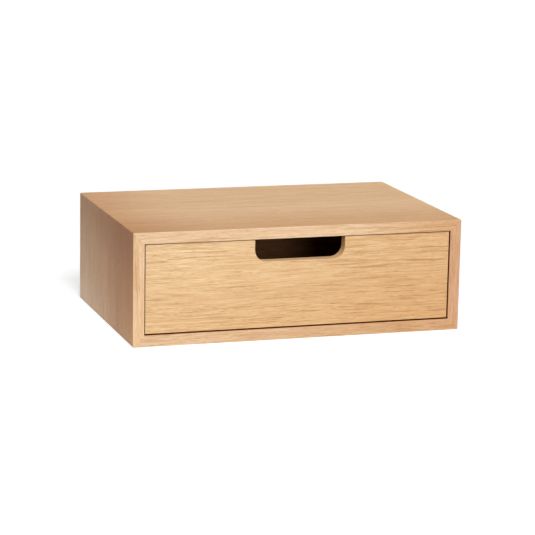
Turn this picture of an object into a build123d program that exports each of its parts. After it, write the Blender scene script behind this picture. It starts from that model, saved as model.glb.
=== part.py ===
from build123d import *
import os

# A small oak box with one drawer, to stand on a desk or a shelf. Four veneered boards are
# mitred into a case, with loose splines in the mitres and a thin solid oak edging on the
# front. The drawer sits inside the case front and is pulled by a cut-out in its top edge.
# Millimetres. The origin is the middle of the underside, +X is to the right seen from the
# front, +Y is to the back and +Z is up. The drawer comes out towards -Y.

# Case
CASE_WIDTH = 360.0
CASE_DEPTH = 240.0
CASE_HEIGHT = 120.0
BOARD = 12.0
EDGING = 1.0
CORNER_RADIUS = 1.2
ARRIS = 0.7
FINE_ARRIS = 0.3

# Splines across the mitres, stopped short of the front and of the rebate
SPLINE_THICKNESS = 3.0
SPLINE_WIDTH = 9.0
SPLINE_STOP = 14.0

# Case back, in a rebate round the rear of the boards
BACK_PANEL = 5.0
BACK_REBATE = 7.0
BACK_INSET = 0.5

# Drawer, set back a little in the case, with a narrow gap all round its front
SIDE_GAP = 1.2
TOP_GAP = 0.7
RECESS = 1.5
DRAWER_FRONT = 12.0
DRAWER_WALL = 8.0
WALL_DROP = 2.0
WALL_ROUND = 1.0
BOTTOM_PANEL = 4.0
BOTTOM_LIFT = 6.0
GROOVE_DEPTH = 4.0

# Finger cut-out in the top edge of the drawer front
CUTOUT_WIDTH = 99.0
CUTOUT_DEPTH = 23.5
CUTOUT_RADIUS = 13.0

# Strips that the drawer slides on, and rubber bumpers that stop it at the back
GLIDE_WIDTH = 12.0
GLIDE_THICKNESS = 1.5
GLIDE_SETBACK = 20.0
BUMPER_DIAMETER = 8.0
BUMPER_THICKNESS = 1.5
BUMPER_DRAFT = 30.0

# Dowels at the drawer's corners, with flats along them for the glue
DOWEL_DIAMETER = 4.0
DOWEL_LENGTH = 20.0
DOWEL_FLAT_COUNT = 12
DOWEL_IN_FRONT = 8.0
DOWEL_IN_SIDE = 5.0
DOWEL_EDGE = 16.0
DOWEL_CHAMFER = 0.5

# Countersunk screws, for the case back and for the drawer bottom
SCREW_DIAMETER = 2.5
SCREW_HEAD = 5.0
SCREW_LENGTH = 12.0
SCREW_TIP = 2.0
BACK_SCREW_FROM_CORNER = 60.0
BOTTOM_SCREW_FROM_SIDE = 60.0

# Room left round a panel in its groove, a dowel in its hole and a screw in its pilot
FIT_GAP = 0.1

# Places along the depth, from front to back
case_front = -CASE_DEPTH / 2
case_rear = CASE_DEPTH / 2
board_front = case_front + EDGING
back_outer = case_rear - BACK_INSET
back_inner = back_outer - BACK_PANEL
drawer_front_face = case_front + RECESS
drawer_front_back = drawer_front_face + DRAWER_FRONT
drawer_rear = back_inner - BUMPER_THICKNESS
spline_front = board_front + SPLINE_STOP
spline_rear = back_inner - SPLINE_STOP

# Inside of the case
inside_width = CASE_WIDTH - 2 * BOARD
inside_height = CASE_HEIGHT - 2 * BOARD
case_middle = CASE_HEIGHT / 2

# Outside of the drawer, and the room in it
drawer_width = inside_width - 2 * SIDE_GAP
drawer_height = inside_height - TOP_GAP - GLIDE_THICKNESS
drawer_floor = BOARD + GLIDE_THICKNESS
drawer_top = drawer_floor + drawer_height
wall_top = drawer_top - WALL_DROP
wall_height = wall_top - drawer_floor
wall_length = drawer_rear - drawer_front_back
wall_middle = drawer_width / 2 - DRAWER_WALL / 2
drawer_inside_width = drawer_width - 2 * DRAWER_WALL
panel_floor = drawer_floor + BOTTOM_LIFT
panel_top = panel_floor + BOTTOM_PANEL
groove_height = BOTTOM_PANEL + FIT_GAP
groove_reach = drawer_inside_width + 2 * GROOVE_DEPTH

# A fillet is never larger than the thin piece that carries it
outer_arris = min(ARRIS, 0.8 * EDGING, 0.8 * CORNER_RADIUS)
inner_arris = min(FINE_ARRIS, 0.8 * EDGING)

# Planes that look at the front, as drawn from the front, and at the back
rear_edge = Plane.XZ.offset(-case_rear)
rebate_face = Plane((0, back_inner, case_middle), x_dir=(-1, 0, 0), z_dir=(0, 1, 0))
back_face = rebate_face.offset(BACK_PANEL)

# The case boards and edgings are the same four mitred sections, drawn from the front
outer_x = CASE_WIDTH / 2
inner_x = inside_width / 2
inner_top = CASE_HEIGHT - BOARD
SECTIONS = {
    "top": [(-outer_x, CASE_HEIGHT), (outer_x, CASE_HEIGHT), (inner_x, inner_top), (-inner_x, inner_top)],
    "bottom": [(-outer_x, 0), (outer_x, 0), (inner_x, BOARD), (-inner_x, BOARD)],
    "left": [(-outer_x, 0), (-outer_x, CASE_HEIGHT), (-inner_x, inner_top), (-inner_x, BOARD)],
    "right": [(outer_x, 0), (outer_x, CASE_HEIGHT), (inner_x, inner_top), (inner_x, BOARD)],
}
BOARD_NAMES = {
    "top": "case_top",
    "bottom": "case_bottom",
    "left": "case_left_side",
    "right": "case_right_side",
}

# Corners of the case, as the side and the level on which each lies
CORNERS = {
    "top_left": (-1, 1),
    "top_right": (1, 1),
    "bottom_left": (-1, -1),
    "bottom_right": (1, -1),
}
SIDES = {"left": -1, "right": 1}

# Screws of the case back, in the middle of the rebate: two above and two below
screw_across = inner_x - BACK_SCREW_FROM_CORNER
screw_level = inside_height / 2 + BACK_REBATE / 2
back_screw_spots = [(x, z) for x in (-screw_across, screw_across) for z in (-screw_level, screw_level)]

# Screws up through the drawer bottom into the drawer back
bottom_face = Plane((0, drawer_rear - DRAWER_WALL / 2, panel_floor), x_dir=(1, 0, 0), z_dir=(0, 0, -1))
bottom_screw_reach = drawer_inside_width / 2 - BOTTOM_SCREW_FROM_SIDE
bottom_screw_spots = [(-bottom_screw_reach, 0), (bottom_screw_reach, 0)]

# Dowels: two at each corner of the drawer, clear of the groove for the bottom
front_joint = Plane((0, drawer_front_back, 0), x_dir=(-1, 0, 0), z_dir=(0, 1, 0))
wall_joint = Plane.XZ.offset(-drawer_front_back)
dowel_levels = (panel_top + DOWEL_EDGE, wall_top - DOWEL_EDGE)
front_dowel_spots = [(x, z) for x in (-wall_middle, wall_middle) for z in dowel_levels]
dowel_hole = DOWEL_DIAMETER / 2 + FIT_GAP
screw_hole = SCREW_DIAMETER / 2 + FIT_GAP
sink_hole = SCREW_HEAD / 2 + FIT_GAP

os.makedirs("parts", exist_ok=True)


def hand_in(piece, name):
    """Label a finished piece and write it to its own file."""
    piece.label = name
    export_step(piece, f"parts/{name}.step")


def spline_section(side, level, gap):
    """Draw one spline's section square across its mitre, a third of the board from the inside."""
    across = side * (inner_x + BOARD / 3)
    up = case_middle + level * (inside_height / 2 + BOARD / 3)
    with Locations((across, up)):
        Rectangle(SPLINE_WIDTH + 2 * gap, SPLINE_THICKNESS + 2 * gap, rotation=-45 * side * level)


def wall_end(side, facing):
    """The plane where the drawer back meets one drawer side, facing right (1) or left (-1)."""
    place = (side * drawer_inside_width / 2, drawer_rear - DRAWER_WALL / 2, 0)
    return Plane(place, x_dir=(0, facing, 0), z_dir=(facing, 0, 0))


# Case boards: mitred ends, a rounded outer corner, spline grooves, the rebate and screw pilots
for place, section in SECTIONS.items():
    with BuildPart() as case_board:
        with BuildSketch(rear_edge):
            with BuildLine():
                Polyline(*section, close=True)
            make_face()
            with Locations((0, case_middle)):
                RectangleRounded(CASE_WIDTH, CASE_HEIGHT, CORNER_RADIUS, mode=Mode.INTERSECT)
        extrude(amount=CASE_DEPTH - EDGING)
        with BuildSketch(Plane.XZ.offset(-spline_rear)):
            for side, level in CORNERS.values():
                spline_section(side, level, FIT_GAP)
        extrude(amount=spline_rear - spline_front, mode=Mode.SUBTRACT)
        with BuildSketch(rear_edge):
            with Locations((0, case_middle)):
                Rectangle(inside_width + 2 * BACK_REBATE, inside_height + 2 * BACK_REBATE)
        extrude(amount=BACK_INSET + BACK_PANEL, mode=Mode.SUBTRACT)
        with Locations(rebate_face):
            with Locations(*back_screw_spots):
                Hole(screw_hole, SCREW_LENGTH - BACK_PANEL + FIT_GAP)
    hand_in(case_board.part, BOARD_NAMES[place])

# Front edgings: the whole frame is rounded on its front arrises, less on the inside, where the
# drawer shuts, and then cut at the mitres
for place, section in SECTIONS.items():
    with BuildPart() as edging:
        with BuildSketch(Plane.XZ.offset(-board_front)):
            with Locations((0, case_middle)):
                RectangleRounded(CASE_WIDTH, CASE_HEIGHT, CORNER_RADIUS)
                Rectangle(inside_width, inside_height, mode=Mode.SUBTRACT)
        extrude(amount=EDGING)
        front_outlines = edging.faces().sort_by(Axis.Y)[0]
        fillet(front_outlines.inner_wires().edges(), inner_arris)
        fillet(edging.faces().sort_by(Axis.Y)[0].outer_wire().edges(), outer_arris)
        with BuildSketch(Plane.XZ.offset(-board_front)):
            with BuildLine():
                Polyline(*section, close=True)
            make_face()
        extrude(amount=EDGING, mode=Mode.INTERSECT)
    hand_in(edging.part, f"edging_{place}")

# Mitre splines
for corner, (side, level) in CORNERS.items():
    with BuildPart() as mitre_spline:
        with BuildSketch(Plane.XZ.offset(-spline_rear + FIT_GAP)):
            spline_section(side, level, 0)
        extrude(amount=spline_rear - spline_front - 2 * FIT_GAP)
    hand_in(mitre_spline.part, f"mitre_spline_{corner}")

# Case back: a plain panel in the rebate, with countersunk holes
panel_reach = 2 * (BACK_REBATE - FIT_GAP)
with BuildPart() as case_back:
    with BuildSketch(rebate_face):
        Rectangle(inside_width + panel_reach, inside_height + panel_reach)
    extrude(amount=BACK_PANEL)
    with Locations(back_face):
        with Locations(*back_screw_spots):
            CounterSinkHole(screw_hole, sink_hole, BACK_PANEL)
hand_in(case_back.part, "case_back")

# One countersunk screw, point down, with the top of its head at the origin
with BuildPart() as screw:
    with BuildSketch(Plane.XZ):
        with BuildLine():
            Polyline(
                (0, 0),
                (SCREW_HEAD / 2, 0),
                (SCREW_DIAMETER / 2, SCREW_DIAMETER / 2 - SCREW_HEAD / 2),
                (SCREW_DIAMETER / 2, SCREW_TIP - SCREW_LENGTH),
                (0, -SCREW_LENGTH),
                close=True,
            )
        make_face()
    revolve(axis=Axis.Z)

with BuildPart() as back_panel_screws:
    with Locations(back_face):
        with Locations(*back_screw_spots):
            add(screw.part)
hand_in(back_panel_screws.part, "back_panel_screws")

# Glide strips: glued to the case bottom, and so thick that the drawer front runs clear of it
glide_front = board_front + GLIDE_SETBACK
for place, side in SIDES.items():
    with BuildPart() as glide_strip:
        with BuildSketch(Plane.XY.offset(BOARD)):
            with Locations((side * (inner_x - GLIDE_WIDTH / 2), (glide_front + back_inner) / 2)):
                Rectangle(GLIDE_WIDTH, back_inner - glide_front)
        extrude(amount=GLIDE_THICKNESS)
    hand_in(glide_strip.part, f"glide_strip_{place}")

# Stop bumpers: stuck to the case back, in line with the ends of the drawer sides
for place, side in SIDES.items():
    with BuildPart() as stop_bumper:
        with BuildSketch(Plane.XZ.offset(-back_inner)):
            with Locations((side * wall_middle, case_middle)):
                Circle(BUMPER_DIAMETER / 2)
        extrude(amount=BUMPER_THICKNESS, taper=BUMPER_DRAFT)
    hand_in(stop_bumper.part, f"stop_bumper_{place}")

# Drawer front: the cut-out is open at the top, and its rim is eased on both faces
with BuildPart() as drawer_front:
    with BuildSketch(wall_joint):
        with Locations((0, drawer_floor + drawer_height / 2)):
            Rectangle(drawer_width, drawer_height)
        with Locations((0, drawer_top)):
            RectangleRounded(CUTOUT_WIDTH, 2 * CUTOUT_DEPTH, CUTOUT_RADIUS, mode=Mode.SUBTRACT)
    extrude(amount=DRAWER_FRONT)
    front_edges = drawer_front.faces().sort_by(Axis.Y)[0].edges()
    rear_edges = drawer_front.faces().sort_by(Axis.Y)[-1].edges()
    rim = rear_edges.filter_by_position(Axis.X, -CUTOUT_WIDTH / 2, CUTOUT_WIDTH / 2)
    rim = rim.filter_by_position(Axis.Z, drawer_top - CUTOUT_DEPTH, drawer_top)
    fillet(front_edges + rim, FINE_ARRIS)
    with BuildSketch(wall_joint):
        with Locations((0, panel_floor + groove_height / 2)):
            Rectangle(groove_reach, groove_height)
    extrude(amount=GROOVE_DEPTH, mode=Mode.SUBTRACT)
    with Locations(front_joint):
        with Locations(*front_dowel_spots):
            Hole(dowel_hole, DOWEL_IN_FRONT + FIT_GAP)
hand_in(drawer_front.part, "drawer_front")

# Drawer sides: grooved along the inside for the bottom, bored for dowels at both ends
for place, side in SIDES.items():
    with BuildPart() as drawer_side:
        with BuildSketch(Plane.XZ.offset(-drawer_rear)):
            with Locations((side * wall_middle, drawer_floor + wall_height / 2)):
                Rectangle(DRAWER_WALL, wall_height)
            with Locations((0, panel_floor + groove_height / 2)):
                Rectangle(groove_reach, groove_height, mode=Mode.SUBTRACT)
        extrude(amount=wall_length)
        fillet(drawer_side.faces().sort_by(Axis.Z)[-1].edges().filter_by(Axis.Y), WALL_ROUND)
        with Locations(wall_joint):
            with Locations(*front_dowel_spots):
                Hole(dowel_hole, DOWEL_LENGTH - DOWEL_IN_FRONT + FIT_GAP)
        with Locations(wall_end(side, -side)):
            with Locations(*[(0, level) for level in dowel_levels]):
                Hole(dowel_hole, DOWEL_IN_SIDE + FIT_GAP)
    hand_in(drawer_side.part, f"drawer_{place}_side")

# Drawer back: between the sides, standing on the bottom
with BuildPart() as drawer_back:
    with BuildSketch(Plane.XZ.offset(-drawer_rear)):
        with Locations((0, (panel_top + wall_top) / 2)):
            Rectangle(drawer_inside_width, wall_top - panel_top)
    extrude(amount=DRAWER_WALL)
    fillet(drawer_back.faces().sort_by(Axis.Z)[-1].edges().filter_by(Axis.X), WALL_ROUND)
    for side in SIDES.values():
        with Locations(wall_end(side, side)):
            with Locations(*[(0, level) for level in dowel_levels]):
                Hole(dowel_hole, DOWEL_LENGTH - DOWEL_IN_SIDE + FIT_GAP)
    with Locations(bottom_face.offset(-BOTTOM_PANEL)):
        with Locations(*bottom_screw_spots):
            Hole(screw_hole, SCREW_LENGTH - BOTTOM_PANEL + FIT_GAP)
hand_in(drawer_back.part, "drawer_back")

# Drawer bottom: in the grooves of the front and sides, and under the drawer back
bottom_front = drawer_front_back - GROOVE_DEPTH + FIT_GAP
with BuildPart() as drawer_bottom:
    with BuildSketch(Plane.XY.offset(panel_floor)):
        with Locations((0, (bottom_front + drawer_rear) / 2)):
            Rectangle(groove_reach - 2 * FIT_GAP, drawer_rear - bottom_front)
    extrude(amount=BOTTOM_PANEL)
    with Locations(bottom_face):
        with Locations(*bottom_screw_spots):
            CounterSinkHole(screw_hole, sink_hole, BOTTOM_PANEL)
hand_in(drawer_bottom.part, "drawer_bottom")

with BuildPart() as drawer_bottom_screws:
    with Locations(bottom_face):
        with Locations(*bottom_screw_spots):
            add(screw.part)
hand_in(drawer_bottom_screws.part, "drawer_bottom_screws")

# One dowel, standing on the origin, with chamfered ends
with BuildPart() as dowel:
    with BuildSketch():
        RegularPolygon(DOWEL_DIAMETER / 2, DOWEL_FLAT_COUNT)
    extrude(amount=DOWEL_LENGTH)
    chamfer(dowel.faces().filter_by(Axis.Z).edges(), DOWEL_CHAMFER)

with BuildPart() as drawer_front_dowels:
    with Locations(front_joint.offset(-DOWEL_IN_FRONT)):
        with Locations(*front_dowel_spots):
            add(dowel.part)
hand_in(drawer_front_dowels.part, "drawer_front_dowels")

with BuildPart() as drawer_back_dowels:
    for side in SIDES.values():
        with Locations(wall_end(side, -side).offset(-DOWEL_IN_SIDE)):
            with Locations(*[(0, level) for level in dowel_levels]):
                add(dowel.part)
hand_in(drawer_back_dowels.part, "drawer_back_dowels")
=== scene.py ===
from math import cos, pi, radians, sin

import bpy
from mathutils import Matrix, Vector


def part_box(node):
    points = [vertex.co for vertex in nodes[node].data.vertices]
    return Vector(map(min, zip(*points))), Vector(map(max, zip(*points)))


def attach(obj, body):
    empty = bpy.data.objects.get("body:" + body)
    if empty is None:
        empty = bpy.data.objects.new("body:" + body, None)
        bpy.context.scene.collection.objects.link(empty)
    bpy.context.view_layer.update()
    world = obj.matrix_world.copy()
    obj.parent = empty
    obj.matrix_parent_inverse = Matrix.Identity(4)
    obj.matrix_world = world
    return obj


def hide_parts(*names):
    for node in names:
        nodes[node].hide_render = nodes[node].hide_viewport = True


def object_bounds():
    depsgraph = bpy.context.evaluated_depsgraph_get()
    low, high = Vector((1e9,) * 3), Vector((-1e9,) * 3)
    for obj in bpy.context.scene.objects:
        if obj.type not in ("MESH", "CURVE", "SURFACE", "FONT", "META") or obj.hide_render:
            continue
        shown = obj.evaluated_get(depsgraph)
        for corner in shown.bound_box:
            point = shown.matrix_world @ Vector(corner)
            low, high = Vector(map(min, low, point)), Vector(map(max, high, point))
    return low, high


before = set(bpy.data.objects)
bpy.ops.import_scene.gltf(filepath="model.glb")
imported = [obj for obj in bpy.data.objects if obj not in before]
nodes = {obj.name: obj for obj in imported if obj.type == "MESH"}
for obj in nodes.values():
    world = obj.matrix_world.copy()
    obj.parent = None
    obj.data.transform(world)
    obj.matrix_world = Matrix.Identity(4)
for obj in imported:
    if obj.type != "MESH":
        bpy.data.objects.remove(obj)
cad_low, cad_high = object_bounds()

# Case boards
# Four twelve millimetre boards of fibreboard with oak veneer outside, glued up with splined mitres.
# Their inner faces are painted a darker red brown, as shade in the gaps round the drawer. Top and
# sides are cut from one long sheet and folded round, so the grain runs on over the corners. The
# sawn rear edges show the core.
MM = 0.001
half_width = cad_high.x / MM
height = cad_high.z / MM
rear = cad_high.y / MM
BOARD = 12.0
VENEER = 0.6
SURFACE_DEPTH = 0.1


def linear(colour):
    """A colour written as #RRGGBB, turned to linear red, green, blue and alpha."""
    channels = [int(colour[i:i + 2], 16) / 255 for i in (1, 3, 5)]
    return [c / 12.92 if c <= 0.04045 else ((c + 0.055) / 1.055) ** 2.4 for c in channels] + [1.0]


def add_node(tree, kind, sockets, **settings):
    """Add a node with its settings. sockets gives each input a value, or an output to feed it."""
    node = tree.nodes.new(kind)
    for name, value in settings.items():
        setattr(node, name, value)
    for socket, value in sockets.items():
        if isinstance(value, bpy.types.NodeSocket):
            tree.links.new(value, node.inputs[socket])
        else:
            node.inputs[socket].default_value = value
    return node.outputs


def new_material(name):
    """An empty material and its node tree."""
    material = bpy.data.materials.new(name)
    material.use_nodes = True
    material.node_tree.nodes.clear()
    return material, material.node_tree


def give_finish(material, *names):
    """Put a finish on CAD nodes."""
    for name in names:
        nodes[name].data.materials.clear()
        nodes[name].data.materials.append(material)


# Figure of oak: how long each layer is along the grain and how wide across it, in millimetres.
# Sway and ripple bend the layers after them. The pores are drawn twice as wide as real ones, so
# that they show.
OAK_FIGURE = {
    "sway": (260, 60),
    "ripple": (55, 10),
    "bands": (340, 12),
    "breaks": (80, 9),
    "streaks": (55, 1.4),
    "flecks": (24, 1.2),
    "fibre": (120, 0.5),
    "pores": (8, 0.55),
}
SWAY = 7.0
RIPPLE = 1.3
RING_WIDTH = 4.6
RING_TILT = 0.45
RING_UNEVEN = 2.4
# Where each layer's noise starts to show and where it shows fully
SHOW_LEVELS = {
    "bands": (0.34, 0.66),
    "breaks": (0.34, 0.60),
    "streaks": (0.45, 0.68),
    "flecks": (0.47, 0.63),
    "fibre": (0.35, 0.65),
    "pores": (0.56, 0.66),
    "ring": (0.42, 0.12),
}
# How strongly each layer colours the wood, at a contrast of 1
SHARES = {"bands": 0.3, "fibre": 0.3, "flecks": 0.9, "streaks": 0.9, "pores": 0.6}
SPRING_WOOD = 0.5
# How squarely a face looks along the grain where end grain starts to show and where it is full
END_FACING = (0.5, 0.9)
END_GRAIN = "#F2E9DE"
# How squarely the middle of a rounded arris looks forward, and how far from that its paler colour,
# partly sanded wood and partly a painted highlight, starts and is full
ARRIS_FACING = 0.7
ARRIS_FADE = (0.28, 0.1)
ARRIS_SHARE = 0.35
WORN_AND_LIT_ARRIS = "#F6E3C8"
# A knot's half length and half width, and where its edge starts and ends, as parts of these
KNOT_SIZE = (2.2, 1.0)
KNOT_EDGE = (0.5, 1.2)
KNOT_SHARE = 0.8
KNOT = "#4A2E1C"
REAR_LEAF_SHIFT = (370, 0, 210)
REAR_LEAF = "#FAF8F5"
# Painted shade: a darker red brown on the case's inner faces
INNER_PAINTED_SHADE = "#A06C52"
FIBREBOARD = "#B58F63"
FIBRE_SIZE = 0.9
FIBRE_SHADES = (0.7, 1.2)
# Noise values lie mostly between these
NOISE_SPAN = (0.3, 0.7)
PORE_DEPTH = 0.12
RELIEF = 0.5
FIBRE_RELIEF = 0.2
PORE_DULL = 0.2
LACQUER_IOR = 1.5


def wood(
    name, figure, turn, shift, tones, contrast,
    roughness=0.55, gloss=0.1, tone_and_shade_drift=(), joint=None, knot=None,
):
    """Planed and lacquered wood. turn brings the grain to X, and shift picks the part of the tree.

    tones are the pale, middle and dark wood and the pores; contrast is how strongly they stand out.
    The drift tints paint shade and falloff of light as well as tone; each gives the axis, X along
    the grain or Y across it, the place, reach and tint. joint is where two leaves of veneer meet on
    a case board, across the grain. knot is the place of a pin knot, along the grain and across it.
    """
    material, tree = new_material(name)
    pale, middle, dark, pore = [linear(tone) for tone in tones]
    coordinates = add_node(tree, "ShaderNodeTexCoord", {})
    place = coordinates["Object"]
    turned = [radians(angle) for angle in turn]
    run = add_node(
        tree, "ShaderNodeMapping",
        {"Vector": place, "Location": [s * MM for s in shift], "Rotation": turned})[0]
    sheet = add_node(tree, "ShaderNodeSeparateXYZ", {0: run})
    grain = run
    if joint is not None:
        # The rear leaf is cut from another part of the tree
        rear_leaf = add_node(
            tree, "ShaderNodeMath", {0: sheet["Y"], 1: joint * MM}, operation="GREATER_THAN")[0]
        other = add_node(
            tree, "ShaderNodeVectorMath",
            {0: [s * MM for s in REAR_LEAF_SHIFT], "Scale": rear_leaf}, operation="SCALE")[0]
        grain = add_node(tree, "ShaderNodeVectorMath", {0: run, 1: other}, operation="ADD")[0]

    layers = {}
    for layer, (length, width) in figure.items():
        scale = (1 / (length * MM), 1 / (width * MM), 1 / (width * MM))
        drawn = add_node(
            tree, "ShaderNodeVectorMath", {0: grain, 1: scale}, operation="MULTIPLY")[0]
        layers[layer] = add_node(
            tree, "ShaderNodeTexNoise", {"Vector": drawn, "Scale": 1.0, "Detail": 2.0})[0]
        if layer == "ripple":
            swayed = add_node(
                tree, "ShaderNodeMath",
                {0: layers["sway"], 1: 2 * SWAY * MM, 2: -SWAY * MM}, operation="MULTIPLY_ADD")[0]
            moved = add_node(
                tree, "ShaderNodeMath",
                {0: layers["ripple"], 1: 2 * RIPPLE * MM, 2: swayed}, operation="MULTIPLY_ADD")[0]
            offset = add_node(tree, "ShaderNodeCombineXYZ", {"Y": moved, "Z": moved})[0]
            grain = add_node(
                tree, "ShaderNodeVectorMath", {0: grain, 1: offset}, operation="ADD")[0]
    # Growth rings are sheets tilted to the face, uneven in width
    across = (0, 1 / (RING_WIDTH * MM), RING_TILT / (RING_WIDTH * MM))
    rings = add_node(
        tree, "ShaderNodeVectorMath", {0: grain, 1: across}, operation="DOT_PRODUCT")["Value"]
    uneven = add_node(
        tree, "ShaderNodeMath",
        {0: layers["bands"], 1: RING_UNEVEN, 2: rings}, operation="MULTIPLY_ADD")[0]
    layers["ring"] = add_node(tree, "ShaderNodeMath", {0: uneven, 1: 0.5}, operation="PINGPONG")[0]
    for layer, (start, full) in SHOW_LEVELS.items():
        layers[layer] = add_node(
            tree, "ShaderNodeMapRange",
            {0: layers[layer], 1: start, 2: full}, interpolation_type="SMOOTHSTEP")[0]

    # The spring wood of each ring is porous, so streaks and pores gather there
    spring = add_node(
        tree, "ShaderNodeMath", {0: layers["ring"], 1: layers["breaks"]}, operation="MULTIPLY")[0]
    porous = add_node(
        tree, "ShaderNodeMath",
        {0: spring, 1: SPRING_WOOD, 2: 1 - SPRING_WOOD}, operation="MULTIPLY_ADD")[0]
    for layer in ("streaks", "pores"):
        layers[layer] = add_node(
            tree, "ShaderNodeMath", {0: layers[layer], 1: porous}, operation="MULTIPLY")[0]
    inks = {}
    for layer, share in SHARES.items():
        inks[layer] = add_node(
            tree, "ShaderNodeMath",
            {0: layers[layer], 1: share * contrast}, operation="MULTIPLY")[0]
    paleness = add_node(
        tree, "ShaderNodeMath", {0: inks["bands"], 1: inks["fibre"]}, operation="ADD")[0]
    colour = middle
    for share, ink in (
        (paleness, pale), (inks["flecks"], pale), (inks["streaks"], dark), (inks["pores"], pore),
    ):
        colour = add_node(
            tree, "ShaderNodeMix", {"Factor": share, 6: colour, 7: ink}, data_type="RGBA")[2]

    # Ends of the fibres drink more lacquer and turn darker; rounded arrises are sanded paler,
    # with a painted highlight
    normal = coordinates["Normal"]
    facing = add_node(
        tree, "ShaderNodeMapping", {"Vector": normal, "Rotation": turned}, vector_type="NORMAL")[0]
    facing = add_node(tree, "ShaderNodeSeparateXYZ", {0: facing})["X"]
    facing = add_node(tree, "ShaderNodeMath", {0: facing}, operation="ABSOLUTE")[0]
    end_grain = add_node(
        tree, "ShaderNodeMapRange",
        {0: facing, 1: END_FACING[0], 2: END_FACING[1]}, interpolation_type="SMOOTHSTEP")[0]
    colour = add_node(
        tree, "ShaderNodeMix", {"Factor": end_grain, 6: colour, 7: linear(END_GRAIN)},
        data_type="RGBA", blend_type="MULTIPLY")[2]
    forward = add_node(tree, "ShaderNodeSeparateXYZ", {0: normal})["Y"]
    forward = add_node(tree, "ShaderNodeMath", {0: forward}, operation="ABSOLUTE")[0]
    turning = add_node(
        tree, "ShaderNodeMath", {0: forward, 1: ARRIS_FACING}, operation="SUBTRACT")[0]
    turning = add_node(tree, "ShaderNodeMath", {0: turning}, operation="ABSOLUTE")[0]
    arris = add_node(
        tree, "ShaderNodeMapRange",
        {0: turning, 1: ARRIS_FADE[0], 2: ARRIS_FADE[1], 3: 0.0, 4: ARRIS_SHARE},
        interpolation_type="SMOOTHSTEP")[0]
    colour = add_node(
        tree, "ShaderNodeMix", {"Factor": arris, 6: colour, 7: linear(WORN_AND_LIT_ARRIS)},
        data_type="RGBA")[2]

    # Painted shade and falloff of light, and tone, as tints that fade along an axis
    for axis, centre, reach, tint in tone_and_shade_drift:
        away = add_node(
            tree, "ShaderNodeMath", {0: sheet[axis], 1: centre * MM}, operation="SUBTRACT")[0]
        away = add_node(tree, "ShaderNodeMath", {0: away}, operation="ABSOLUTE")[0]
        near = add_node(
            tree, "ShaderNodeMapRange",
            {0: away, 1: 0.0, 2: reach * MM, 3: 1.0, 4: 0.0}, interpolation_type="SMOOTHSTEP")[0]
        colour = add_node(
            tree, "ShaderNodeMix", {"Factor": near, 6: colour, 7: linear(tint)},
            data_type="RGBA", blend_type="MULTIPLY")[2]

    if knot is not None:
        # A small dark dot, drawn out a little along the grain
        centre = [k * MM for k in knot] + [0.0]
        stretch = [1 / (k * MM) for k in KNOT_SIZE] + [0.0]
        away = add_node(
            tree, "ShaderNodeVectorMath", {0: run, 1: centre}, operation="SUBTRACT")[0]
        away = add_node(
            tree, "ShaderNodeVectorMath", {0: away, 1: stretch}, operation="MULTIPLY")[0]
        away = add_node(tree, "ShaderNodeVectorMath", {0: away}, operation="LENGTH")["Value"]
        dot = add_node(
            tree, "ShaderNodeMapRange",
            {0: away, 1: KNOT_EDGE[0], 2: KNOT_EDGE[1], 3: KNOT_SHARE, 4: 0.0},
            interpolation_type="SMOOTHSTEP")[0]
        colour = add_node(
            tree, "ShaderNodeMix", {"Factor": dot, 6: colour, 7: linear(KNOT)},
            data_type="RGBA")[2]

    if joint is not None:
        colour = add_node(
            tree, "ShaderNodeMix", {"Factor": rear_leaf, 6: colour, 7: linear(REAR_LEAF)},
            data_type="RGBA", blend_type="MULTIPLY")[2]
        # Painted shade on the inner faces, a darker red brown, and pressed fibre on the sawn rear
        # edges
        spot = add_node(tree, "ShaderNodeSeparateXYZ", {0: place})
        masks = {}
        for mask, depth in (("inner", BOARD - SURFACE_DEPTH), ("core", VENEER)):
            for axis, centre, reach in (("X", 0.0, half_width), ("Z", height / 2, height / 2)):
                away = add_node(
                    tree, "ShaderNodeMath",
                    {0: spot[axis], 1: centre * MM}, operation="SUBTRACT")[0]
                away = add_node(tree, "ShaderNodeMath", {0: away}, operation="ABSOLUTE")[0]
                within = add_node(
                    tree, "ShaderNodeMath",
                    {0: away, 1: (reach - depth) * MM}, operation="LESS_THAN")[0]
                masks[mask] = within if mask not in masks else add_node(
                    tree, "ShaderNodeMath", {0: masks[mask], 1: within}, operation="MULTIPLY")[0]
        sawn = add_node(
            tree, "ShaderNodeMath",
            {0: spot["Y"], 1: (rear - SURFACE_DEPTH) * MM}, operation="GREATER_THAN")[0]
        core = add_node(
            tree, "ShaderNodeMath", {0: masks["core"], 1: sawn}, operation="MULTIPLY")[0]
        speck = add_node(
            tree, "ShaderNodeTexNoise",
            {"Vector": place, "Scale": 1 / (FIBRE_SIZE * MM), "Detail": 3.0})[0]
        speck = add_node(
            tree, "ShaderNodeMapRange",
            {0: speck, 1: NOISE_SPAN[0], 2: NOISE_SPAN[1], 3: FIBRE_SHADES[0],
             4: FIBRE_SHADES[1]})[0]
        board = add_node(
            tree, "ShaderNodeVectorMath",
            {0: linear(FIBREBOARD)[:3], "Scale": speck}, operation="SCALE")[0]
        # Painted shade on the inner faces
        colour = add_node(
            tree, "ShaderNodeMix", {"Factor": masks["inner"], 6: colour, 7: linear(INNER_PAINTED_SHADE)},
            data_type="RGBA", blend_type="MULTIPLY")[2]
        colour = add_node(
            tree, "ShaderNodeMix", {"Factor": core, 6: colour, 7: board}, data_type="RGBA")[2]

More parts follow.
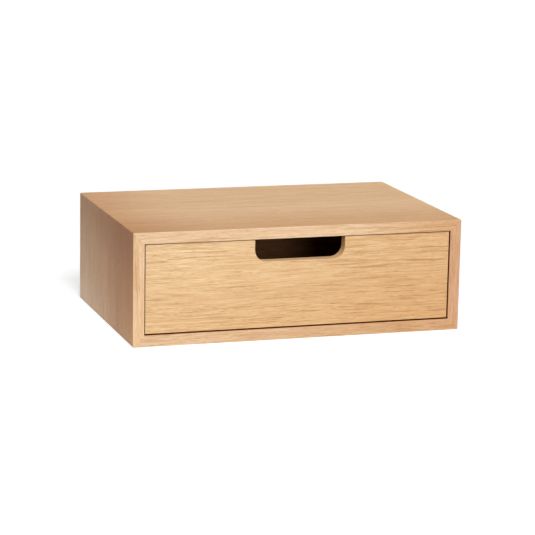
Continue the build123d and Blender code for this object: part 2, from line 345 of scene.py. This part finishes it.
    # Pores are open pits, duller than the lacquer round them
    pit = layers["pores"]
    surface = add_node(
        tree, "ShaderNodeMath", {0: pit, 1: -1.0, 2: 1.0}, operation="MULTIPLY_ADD")[0]
    surface = add_node(
        tree, "ShaderNodeMath",
        {0: layers["fibre"], 1: FIBRE_RELIEF, 2: surface}, operation="MULTIPLY_ADD")[0]
    relief = add_node(
        tree, "ShaderNodeBump",
        {"Height": surface, "Strength": RELIEF, "Distance": PORE_DEPTH * MM})["Normal"]
    rough = add_node(
        tree, "ShaderNodeMath", {0: pit, 1: PORE_DULL, 2: roughness}, operation="MULTIPLY_ADD")[0]
    shader = add_node(
        tree, "ShaderNodeBsdfPrincipled",
        {"Base Color": colour, "Roughness": rough, "IOR": LACQUER_IOR, "Specular IOR Level": gloss,
         "Normal": relief})[0]
    add_node(tree, "ShaderNodeOutputMaterial", {"Surface": shader})
    return material


# Oak veneer under a thin satin lacquer: even, with little contrast, a little darker towards the
# front edge, with painted shade towards the left corner of the sheet. The left side has a painted
# sheen, paler and greyer towards the rear, and painted shade towards its top and front, and its
# figure stands out more. It has one pin knot.
VENEER_TONES = ("#FCDAAE", "#F2C596", "#D6A36D", "#B28151")
# The left side's paler, greyer tones are a painted sheen
SIDE_PAINTED_SHEEN_TONES = ("#FFF4E3", "#FBE4CD", "#E1C19C", "#BE9D7A")
VENEER_CONTRAST = 0.55
LEFT_SIDE_CONTRAST = 0.75
VENEER_GLOSS = 0.15
VENEER_FIGURE = dict(OAK_FIGURE, bands=(420, 20), streaks=(80, 2.4), flecks=(34, 2.0))
LEAF_JOINT = 10.0
fold = half_width + height
# Turn of each board's grain, and its place on the long sheet, so that the grain runs on
veneer_runs = {
    "case_top": ((0, 0, 0), (0, 0, 0)),
    "case_left_side": ((0, 90, 0), (-fold, 0, height - half_width)),
    "case_right_side": ((0, -90, 0), (fold, 0, height - half_width)),
    "case_bottom": ((0, 180, 0), (-fold - half_width, 0, height)),
}
# On the left side, 78 mm above the floor and 57 mm in front of the middle
PIN_KNOT = (78 - fold, -57)
# Painted shade: darker over the left end of the top and on the left side
CORNER_PAINTED_SHADE = ("X", -half_width - 50, 150, "#DEC8B2")
# Other boards: painted shade at the corner, and a little darker towards the front edge
VENEER_TONE_AND_SHADE = (CORNER_PAINTED_SHADE, ("Y", -rear, 130, "#ECDFCF"))
# Painted shade on the left side: darker towards its top and front
LEFT_SIDE_PAINTED_SHADE = (
    CORNER_PAINTED_SHADE,
    ("X", -half_width, 60, "#DECBBA"),
    ("Y", -rear, 260, "#E4C4A0"),
    ("Y", -45, 70, "#F5F3F3"),
)
for name, (turn, shift) in veneer_runs.items():
    # The left side gets the painted sheen and painted shade
    if name == "case_left_side":
        veneer = wood(
            f"oak_veneer_{name}", VENEER_FIGURE, turn, shift, SIDE_PAINTED_SHEEN_TONES, LEFT_SIDE_CONTRAST,
            gloss=VENEER_GLOSS, tone_and_shade_drift=LEFT_SIDE_PAINTED_SHADE, joint=LEAF_JOINT, knot=PIN_KNOT)
    else:
        veneer = wood(
            f"oak_veneer_{name}", VENEER_FIGURE, turn, shift, VENEER_TONES, VENEER_CONTRAST,
            gloss=VENEER_GLOSS, tone_and_shade_drift=VENEER_TONE_AND_SHADE, joint=LEAF_JOINT)
    give_finish(veneer, name)

# Front edgings
# Strips of solid oak, a millimetre thick, glued over the front edges of the boards and mitred with
# them. The grain runs along each strip, so it turns the corner at the mitres. No two strips are
# quite the same shade, and each carries painted falloff of light, darker towards the right and the
# bottom of the front.
EDGING_TONES = ("#F4D6B2", "#E9C39B", "#D0A06D", "#A9794B")
# The bottom strip is a little darker, as painted shade
LOWER_SHADED_TONES = ("#F0D4B2", "#E5C19B", "#CC9F70", "#A2774B")
EDGING_CONTRAST = 0.8
# Turn of each strip's grain, the part of the tree that it is from, and its tint, a painted falloff
# of light
edging_runs = {
    "edging_top": ((-90, 0, 0), (40, 30, 700), ("X", half_width + 40, 140, "#EEDECD")),
    "edging_bottom": ((-90, 0, 0), (460, 230, 900), ("X", half_width + 460, 480, "#EAD8C6")),
    "edging_left": ((90, 0, 90), (830, 610, 300), ("X", 830, 400, "#FDFAF5")),
    "edging_right": ((90, 0, 90), (1270, 420, 500), ("X", 1270, 500, "#E7D3CA")),
}
for name, (turn, shift, tone_and_shade_drift) in edging_runs.items():
    tones = LOWER_SHADED_TONES if name == "edging_bottom" else EDGING_TONES
    strip = wood(
        f"oak_strip_{name}", OAK_FIGURE, turn, shift, tones, EDGING_CONTRAST, tone_and_shade_drift=(tone_and_shade_drift,))
    give_finish(strip, name)

# Mitre splines and dowels
# Loose strips of beech glued into grooves across the mitres, and turned beech dowels at the
# drawer's corners. They are out of sight once the box is glued up.
BEECH_FIGURE = dict(OAK_FIGURE, streaks=(18, 0.9), flecks=(4, 0.6), pores=(2.5, 0.4))
BEECH_TONES = ("#DDB48C", "#D3A67C", "#C29468", "#B08258")
BEECH_TURN = (-90, -90, 0)
BEECH_CONTRAST = 0.6
BEECH_ROUGHNESS = 0.7
SPLINES = [name for name in nodes if name.startswith("mitre_spline")]
sawn_beech = wood(
    "beech_sawn", BEECH_FIGURE, BEECH_TURN, (0, 0, 0), BEECH_TONES, BEECH_CONTRAST,
    BEECH_ROUGHNESS)
give_finish(sawn_beech, "drawer_front_dowels", *SPLINES)
turned_beech = wood(
    "beech_turned", BEECH_FIGURE, BEECH_TURN, (60, 40, 0), BEECH_TONES, BEECH_CONTRAST,
    BEECH_ROUGHNESS)
give_finish(turned_beech, "drawer_back_dowels")

# Case back
# A five millimetre panel of oak faced plywood that lies in a rebate and is screwed to the boards.
# Its face veneer is plain and even, under a thin coat of lacquer.
PLYWOOD_TONES = ("#DDBB8F", "#D0A97A", "#B98B59", "#A07247")
PLYWOOD_CONTRAST = 0.6
PLYWOOD_ROUGHNESS = 0.6
plywood_back = wood(
    "oak_plywood_back", OAK_FIGURE, (-90, 0, 0), (300, 1500, 40), PLYWOOD_TONES, PLYWOOD_CONTRAST,
    PLYWOOD_ROUGHNESS)
give_finish(plywood_back, "case_back")

# Screws
# Countersunk wood screws of zinc plated steel with a cross recess and a rolled thread: four hold
# the case back, and two come up through the drawer bottom into the drawer back.
HEAD_RADIUS = 2.5
HEAD_RIM = 0.12
SHANK_RADIUS = 1.25
CORE_RADIUS = 0.9
SCREW_LENGTH = 12.0
NECK_LENGTH = 0.6
NECK_TAPER = 0.4
TIP_LENGTH = 2.0
TIP_RADIUS = 0.08
THREAD_PITCH = 1.1
THREAD_TURNS = 6
THREAD_WIRE = 0.4
THREAD_START = 0.3
CROSS_WIDTH = 2.9
CROSS_SLOT = 0.75
CROSS_DEPTH = 1.5
CROSS_TAPER = (0.4, 0.6, 1)
ROUND_STEPS = 32
SMOOTH_ANGLE = radians(35)
TOUCH = 0.01
head_depth = HEAD_RADIUS - SHANK_RADIUS
neck_end = head_depth + NECK_LENGTH
# Depth below the head's face and the radius there, down to the point
SCREW_PROFILE = (
    (head_depth, SHANK_RADIUS),
    (neck_end, SHANK_RADIUS),
    (neck_end + NECK_TAPER, CORE_RADIUS),
    (SCREW_LENGTH - TIP_LENGTH, CORE_RADIUS),
    (SCREW_LENGTH, TIP_RADIUS),
)
bpy.ops.object.select_all(action="DESELECT")
bpy.ops.mesh.primitive_circle_add(
    vertices=ROUND_STEPS, radius=HEAD_RADIUS * MM, fill_type="NGON")
screw = bpy.context.object
bpy.ops.object.mode_set(mode="EDIT")
bpy.ops.mesh.select_all(action="SELECT")
depth, radius = 0.0, HEAD_RADIUS
for next_depth, next_radius in SCREW_PROFILE:
    drop = (0, 0, (depth - next_depth) * MM)
    bpy.ops.mesh.extrude_region_move(TRANSFORM_OT_translate={"value": drop})
    growth = next_radius / radius
    bpy.ops.transform.resize(value=(growth, growth, 1), center_override=(0, 0, 0))
    depth, radius = next_depth, next_radius
bpy.ops.mesh.select_all(action="SELECT")
bpy.ops.mesh.normals_make_consistent(inside=False)
bpy.ops.mesh.select_all(action="DESELECT")
bpy.ops.object.mode_set(mode="OBJECT")
for vertex in screw.data.vertices:
    vertex.select = abs(vertex.co.z) < TOUCH * MM
bpy.ops.object.mode_set(mode="EDIT")
bpy.ops.mesh.bevel(offset=HEAD_RIM * MM, segments=2)
bpy.ops.object.mode_set(mode="OBJECT")

# The thread is a three sided wire wound round the core
wire_reach = (SHANK_RADIUS - THREAD_WIRE) * MM
wire_level = (TIP_LENGTH + THREAD_START - SCREW_LENGTH) * MM
bpy.ops.mesh.primitive_circle_add(
    vertices=3, radius=THREAD_WIRE * MM, rotation=(pi / 2, pi / 2, 0),
    location=(wire_reach, 0, wire_level))
thread = bpy.context.object
bpy.ops.object.transform_apply(location=True, rotation=True, scale=True)
wind = thread.modifiers.new("wind", "SCREW")
wind.screw_offset = THREAD_PITCH * MM
wind.iterations = THREAD_TURNS
wind.steps = ROUND_STEPS
wind.render_steps = ROUND_STEPS
bpy.ops.object.modifier_apply(modifier="wind")
bpy.ops.object.mode_set(mode="EDIT")
bpy.ops.mesh.select_all(action="SELECT")
bpy.ops.mesh.fill_holes(sides=3)
bpy.ops.mesh.normals_make_consistent(inside=False)
bpy.ops.object.mode_set(mode="OBJECT")

# The cross recess is pressed by a tapered blade, once each way
bpy.ops.mesh.primitive_cube_add(size=1)
blade = bpy.context.object
blade.scale = (CROSS_WIDTH * MM, CROSS_SLOT * MM, 2 * CROSS_DEPTH * MM)
bpy.ops.object.transform_apply(location=True, rotation=True, scale=True)
for vertex in blade.data.vertices:
    vertex.select = vertex.co.z < 0
for part in (*blade.data.edges, *blade.data.polygons):
    part.select = all(blade.data.vertices[v].select for v in part.vertices)
bpy.ops.object.mode_set(mode="EDIT")
bpy.ops.transform.resize(value=CROSS_TAPER, center_override=(0, 0, 0))
bpy.ops.object.mode_set(mode="OBJECT")
bpy.context.view_layer.objects.active = screw
for tool, operation, turn in (
    (thread, "UNION", 0), (blade, "DIFFERENCE", 0), (blade, "DIFFERENCE", pi / 2),
):
    tool.rotation_euler.z = turn
    press = screw.modifiers.new("press", "BOOLEAN")
    press.operation = operation
    press.object = tool
    bpy.ops.object.modifier_apply(modifier="press")
for tool in (thread, blade):
    bpy.data.objects.remove(tool)
bpy.ops.object.select_all(action="DESELECT")
screw.select_set(True)
bpy.ops.object.shade_smooth_by_angle(angle=SMOOTH_ANGLE)

# Bright zinc plate: a cool silver with faint yellow clouds, dulled a little in patches, over fine
# marks from rolling. The marks are drawn at 0.15 mm, coarser than real ones.
ZINC_TONES = ("#C7CACB", "#CFCBB9")
ZINC_ROUGHNESS = (0.24, 0.42)
CLOUD_SIZE = 1.6
CLOUD_EDGE = (0.4, 0.65)
MARK_SIZE = 0.15
MARK_DEPTH = 0.05
MARK_RELIEF = 0.15
zinc, tree = new_material("steel_zinc_plated")
place = add_node(tree, "ShaderNodeTexCoord", {})["Object"]
cloud = add_node(
    tree, "ShaderNodeTexNoise",
    {"Vector": place, "Scale": 1 / (CLOUD_SIZE * MM), "Detail": 3.0})[0]
marks = add_node(
    tree, "ShaderNodeTexNoise",
    {"Vector": place, "Scale": 1 / (MARK_SIZE * MM), "Detail": 2.0})[0]
cast = add_node(
    tree, "ShaderNodeMapRange",
    {0: cloud, 1: CLOUD_EDGE[0], 2: CLOUD_EDGE[1]}, interpolation_type="SMOOTHSTEP")[0]
silver = add_node(
    tree, "ShaderNodeMix",
    {"Factor": cast, 6: linear(ZINC_TONES[0]), 7: linear(ZINC_TONES[1])}, data_type="RGBA")[2]
dull = add_node(
    tree, "ShaderNodeMapRange",
    {0: cloud, 1: NOISE_SPAN[0], 2: NOISE_SPAN[1], 3: ZINC_ROUGHNESS[0],
     4: ZINC_ROUGHNESS[1]})[0]
marked = add_node(
    tree, "ShaderNodeBump",
    {"Height": marks, "Strength": MARK_RELIEF, "Distance": MARK_DEPTH * MM})["Normal"]
plated = add_node(
    tree, "ShaderNodeBsdfPrincipled",
    {"Base Color": silver, "Metallic": 1.0, "Roughness": dull, "Normal": marked})[0]
add_node(tree, "ShaderNodeOutputMaterial", {"Surface": plated})
screw.data.materials.append(zinc)

# Heads of the back screws lie flush in the panel, and those of the drawer in its underside
back_low, back_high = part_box("back_panel_screws")
under_low, under_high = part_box("drawer_bottom_screws")
inset = HEAD_RADIUS * MM
screw_places = {
    "back_panel_screw_upper_left": (back_low.x + inset, back_high.y, back_high.z - inset),
    "back_panel_screw_upper_right": (back_high.x - inset, back_high.y, back_high.z - inset),
    "back_panel_screw_lower_left": (back_low.x + inset, back_high.y, back_low.z + inset),
    "back_panel_screw_lower_right": (back_high.x - inset, back_high.y, back_low.z + inset),
    "drawer_bottom_screw_left": (under_low.x + inset, under_low.y + inset, under_low.z),
    "drawer_bottom_screw_right": (under_high.x - inset, under_low.y + inset, under_low.z),
}
for name, spot in screw_places.items():
    bpy.ops.object.select_all(action="DESELECT")
    screw.select_set(True)
    bpy.context.view_layer.objects.active = screw
    bpy.ops.object.duplicate()
    copy = bpy.context.object
    copy.name = name
    copy.location = spot
    in_back = name.startswith("back")
    copy.rotation_euler = (-pi / 2 if in_back else pi, 0, 0)
    bpy.ops.object.transform_apply(location=True, rotation=True, scale=True)
    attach(copy, "case" if in_back else "drawer")
    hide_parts("back_panel_screws" if in_back else "drawer_bottom_screws")
bpy.data.objects.remove(screw)

# Glide strips
# Self-adhesive strips of slippery polyethylene, cut from a roll, that the drawer sides run on.
# Milky and waxy, with faint lines from the rollers along the strip.
GLIDE_TONES = ("#DAD8CF", "#EDECE6")
GLIDE_ROUGHNESS = (0.32, 0.5)
GLIDE_IOR = 1.51
LINE_WIDTH = 0.7
LINE_LENGTH = 60
LINE_DEPTH = 0.05
LINE_RELIEF = 0.2
glide, tree = new_material("polyethylene_rolled_strip")
place = add_node(tree, "ShaderNodeTexCoord", {})["Object"]
spacing = (1 / (LINE_WIDTH * MM), 1 / (LINE_LENGTH * MM), 1 / (LINE_WIDTH * MM))
rolled = add_node(tree, "ShaderNodeVectorMath", {0: place, 1: spacing}, operation="MULTIPLY")[0]
lines = add_node(tree, "ShaderNodeTexNoise", {"Vector": rolled, "Scale": 1.0, "Detail": 3.0})[0]
milk = add_node(
    tree, "ShaderNodeMix",
    {"Factor": lines, 6: linear(GLIDE_TONES[0]), 7: linear(GLIDE_TONES[1])}, data_type="RGBA")[2]
waxy = add_node(
    tree, "ShaderNodeMapRange",
    {0: lines, 1: NOISE_SPAN[0], 2: NOISE_SPAN[1], 3: GLIDE_ROUGHNESS[0],
     4: GLIDE_ROUGHNESS[1]})[0]
ridged = add_node(
    tree, "ShaderNodeBump",
    {"Height": lines, "Strength": LINE_RELIEF, "Distance": LINE_DEPTH * MM})["Normal"]
glide_shader = add_node(
    tree, "ShaderNodeBsdfPrincipled",
    {"Base Color": milk, "Roughness": waxy, "IOR": GLIDE_IOR, "Normal": ridged})[0]
add_node(tree, "ShaderNodeOutputMaterial", {"Surface": glide_shader})
give_finish(glide, "glide_strip_left", "glide_strip_right")

# Stop bumpers
# Small moulded rubber bumpers stuck to the case back, where the drawer sides come to rest.
# Matt and nearly black, with a fine grain from the mould and a grey bloom in patches.
RUBBER_TONES = ("#262321", "#3B3733")
RUBBER_ROUGHNESS = (0.65, 0.85)
RUBBER_IOR = 1.52
BLOOM_SIZE = 4.0
GRIT_SIZE = 0.4
GRIT_DEPTH = 0.08
GRIT_RELIEF = 0.3
rubber, tree = new_material("rubber_moulded")
place = add_node(tree, "ShaderNodeTexCoord", {})["Object"]
bloom = add_node(
    tree, "ShaderNodeTexNoise",
    {"Vector": place, "Scale": 1 / (BLOOM_SIZE * MM), "Detail": 3.0})[0]
grit = add_node(
    tree, "ShaderNodeTexNoise",
    {"Vector": place, "Scale": 1 / (GRIT_SIZE * MM), "Detail": 2.0})[0]
black = add_node(
    tree, "ShaderNodeMix",
    {"Factor": bloom, 6: linear(RUBBER_TONES[0]), 7: linear(RUBBER_TONES[1])}, data_type="RGBA")[2]
matt = add_node(
    tree, "ShaderNodeMapRange",
    {0: bloom, 1: NOISE_SPAN[0], 2: NOISE_SPAN[1], 3: RUBBER_ROUGHNESS[0],
     4: RUBBER_ROUGHNESS[1]})[0]
grained = add_node(
    tree, "ShaderNodeBump",
    {"Height": grit, "Strength": GRIT_RELIEF, "Distance": GRIT_DEPTH * MM})["Normal"]
rubber_shader = add_node(
    tree, "ShaderNodeBsdfPrincipled",
    {"Base Color": black, "Roughness": matt, "IOR": RUBBER_IOR, "Normal": grained})[0]
add_node(tree, "ShaderNodeOutputMaterial", {"Surface": rubber_shader})
give_finish(rubber, "stop_bumper_left", "stop_bumper_right")

# Drawer front
# One board of solid oak with a rounded cut-out in its top edge to pull it by. It is the liveliest
# piece of wood on the box: rift cut, with the grain level and a little wavy. Painted falloff of
# light makes it palest at the left end, darker towards the right and the bottom.
FRONT_TONES = ("#F9DCB0", "#EDC697", "#C4915C", "#996A3F")
FRONT_CONTRAST = 0.74
# Painted falloff of light: darker towards the right end and the bottom
FRONT_PAINTED_FALLOFF = (("X", half_width, 2 * half_width, "#F3E8DC"), ("Y", 0, height, "#F5EFE6"))
solid_front = wood(
    "oak_solid_front", OAK_FIGURE, (-90, 0, 0), (0, 0, 0), FRONT_TONES, FRONT_CONTRAST,
    tone_and_shade_drift=FRONT_PAINTED_FALLOFF)
give_finish(solid_front, "drawer_front")

# Drawer sides and back
# Planed oak, thinner than the case, oiled to a darker brown than the lacquered front. It shows
# only through the cut-out while the drawer is shut.
WALL_TONES = ("#CA9569", "#B47B54", "#9A6440", "#7E4F31")
WALL_SHIFT = (900, 700, 200)
WALL_CONTRAST = 0.7
OILED_ROUGHNESS = 0.75
OILED_GLOSS = 0.08
WALL_TURNS = {
    "drawer_left_side": (-90, -90, 0),
    "drawer_right_side": (-90, -90, 0),
    "drawer_back": (-90, 0, 0),
}
for name, turn in WALL_TURNS.items():
    wall = wood(
        f"oak_planed_{name}", OAK_FIGURE, turn, WALL_SHIFT, WALL_TONES, WALL_CONTRAST,
        OILED_ROUGHNESS, OILED_GLOSS)
    give_finish(wall, name)

# Drawer bottom
# A four millimetre panel of oak faced plywood that slides into grooves in the front and sides, and
# is screwed up to the drawer back. It is oiled like the sides, but keeps its paler colour.
plywood_bottom = wood(
    "oak_plywood_bottom", OAK_FIGURE, (0, 0, 0), (500, 300, 900), PLYWOOD_TONES, PLYWOOD_CONTRAST,
    OILED_ROUGHNESS, OILED_GLOSS)
give_finish(plywood_bottom, "drawer_bottom")

# Floor
# A wide pale floor that keeps the box's shadow. It is lifted to white only where it is seen
# directly or in a reflection, so it throws no more light on the box. It can't be seen from below,
# and it lies a hair above the underside, which is clear of it there.
FLOOR_SIZE = 40.0
FLOOR_LEVEL = 0.1
FLOOR_LIFT = 0.66
FLOOR_GREY = "#BEBEBE"
bpy.ops.object.select_all(action="DESELECT")
bpy.ops.mesh.primitive_plane_add(size=FLOOR_SIZE, location=(0, 0, FLOOR_LEVEL * MM))
floor = bpy.context.object
floor.name = "floor"
paper, tree = new_material("floor_white_paper")
ray = add_node(tree, "ShaderNodeLightPath", {})
seen = add_node(
    tree, "ShaderNodeMath",
    {0: ray["Is Camera Ray"], 1: ray["Is Glossy Ray"]}, operation="MAXIMUM")[0]
seen = add_node(
    tree, "ShaderNodeMath", {0: seen, 1: ray["Is Transmission Ray"]}, operation="MAXIMUM")[0]
lift = add_node(tree, "ShaderNodeMath", {0: seen, 1: FLOOR_LIFT}, operation="MULTIPLY")[0]
plain = add_node(tree, "ShaderNodeBsdfDiffuse", {"Color": linear(FLOOR_GREY)})[0]
lifted = add_node(tree, "ShaderNodeEmission", {"Strength": lift})[0]
both = add_node(tree, "ShaderNodeAddShader", {0: plain, 1: lifted})[0]
below = add_node(tree, "ShaderNodeNewGeometry", {})["Backfacing"]
clear = add_node(tree, "ShaderNodeBsdfTransparent", {})[0]
one_way = add_node(tree, "ShaderNodeMixShader", {0: below, 1: both, 2: clear})[0]
add_node(tree, "ShaderNodeOutputMaterial", {"Surface": one_way})
floor.data.materials.append(paper)

# World
# White all round where it is seen, and a soft low fill for everything else. Below the floor, which
# is clear from there, the fill is stronger, so that the underside shows.
WORLD_FILL = 0.09
UNDER_FILL = 0.5
WORLD_WHITE = 1.0
world = bpy.data.worlds.new("studio")
bpy.context.scene.world = world
world.use_nodes = True
tree = world.node_tree
tree.nodes.clear()
ray = add_node(tree, "ShaderNodeLightPath", {})
seen = add_node(
    tree, "ShaderNodeMath",
    {0: ray["Is Camera Ray"], 1: ray["Is Glossy Ray"]}, operation="MAXIMUM")[0]
seen = add_node(
    tree, "ShaderNodeMath", {0: seen, 1: ray["Is Transmission Ray"]}, operation="MAXIMUM")[0]
towards = add_node(tree, "ShaderNodeTexCoord", {})["Object"]
towards = add_node(tree, "ShaderNodeSeparateXYZ", {0: towards})["Z"]
under = add_node(tree, "ShaderNodeMath", {0: towards, 1: 0.0}, operation="LESS_THAN")[0]
fill = add_node(tree, "ShaderNodeMapRange", {0: under, 3: WORLD_FILL, 4: UNDER_FILL})[0]
level = add_node(tree, "ShaderNodeMapRange", {0: seen, 3: fill, 4: WORLD_WHITE})[0]
sky = add_node(
    tree, "ShaderNodeBackground", {"Color": linear("#FFFFFF"), "Strength": level})[0]
add_node(tree, "ShaderNodeOutputWorld", {"Surface": sky})

# Lights
# A broad soft light high in front and a little to the left, a weak one level with the lens, another
# from the left, and bright cards on the floor to the left, to the right and behind, which throw
# light up those sides.
CARD_SIZE = (0.15, 0.36)
CARD_LEVEL = 0.0006
# Middle of each card on the floor in metres, its turn and its power
CARDS = {
    "left_card_light": ((-0.257, 0.04), 0, 0.054),
    "right_card_light": ((0.257, 0.065), 0, 0.13),
    "rear_card_light": ((0.0, 0.197), pi / 2, 0.13),
}
# Strength of each other light, and its spread, azimuth and elevation in degrees
LIGHTS = {
    "key_light": (2.72, 20, -6, 42.6),
    "fill_light": (0.36, 12, -6, 12),
    "side_light": (0.32, 12, -65, 15),
}


def direction(azimuth, elevation):
    """Unit vector from the box towards that azimuth and elevation in degrees; 0, 0 is in front."""
    across, up = radians(azimuth), radians(elevation)
    return Vector((sin(across) * cos(up), -cos(across) * cos(up), sin(up)))


for name, (strength, spread, azimuth, elevation) in LIGHTS.items():
    bpy.ops.object.light_add(type="SUN")
    lamp = bpy.context.object
    lamp.name = name
    lamp.data.energy = strength
    lamp.data.angle = radians(spread)
    lamp.rotation_euler = direction(azimuth, elevation).to_track_quat("Z", "Y").to_euler()
for name, ((x, y), turn, power) in CARDS.items():
    bpy.ops.object.light_add(type="AREA", location=(x, y, CARD_LEVEL), rotation=(pi, 0, turn))
    card = bpy.context.object
    card.name = name
    card.data.shape = "RECTANGLE"
    card.data.size, card.data.size_y = CARD_SIZE
    card.data.energy = power
    card.visible_camera = False

# Camera
# A long lens, a little to the left and above, as the photograph was taken.
CAMERA_AZIMUTH = -17.88
CAMERA_ELEVATION = 11.98
CAMERA_ROLL = radians(1.083)
CAMERA_DISTANCE = 2.5123
CAMERA_AIM = Vector((0.0053, 0.0085, 0.0492))
CAMERA_REACH = 100
SENSOR = 36.0
FOCAL_LENGTH = 153.56
bpy.ops.object.camera_add()
camera = bpy.context.object
camera.name = "camera"
camera.data.sensor_width = SENSOR
camera.data.lens = FOCAL_LENGTH
camera.data.clip_end = CAMERA_REACH
back = direction(CAMERA_AZIMUTH, CAMERA_ELEVATION)
camera.matrix_world = (
    Matrix.Translation(CAMERA_AIM + back * CAMERA_DISTANCE)
    @ back.to_track_quat("Z", "Y").to_matrix().to_4x4()
    @ Matrix.Rotation(CAMERA_ROLL, 4, "Z")
)
bpy.context.scene.camera = camera
bpy.context.scene.view_settings.view_transform = "Standard"
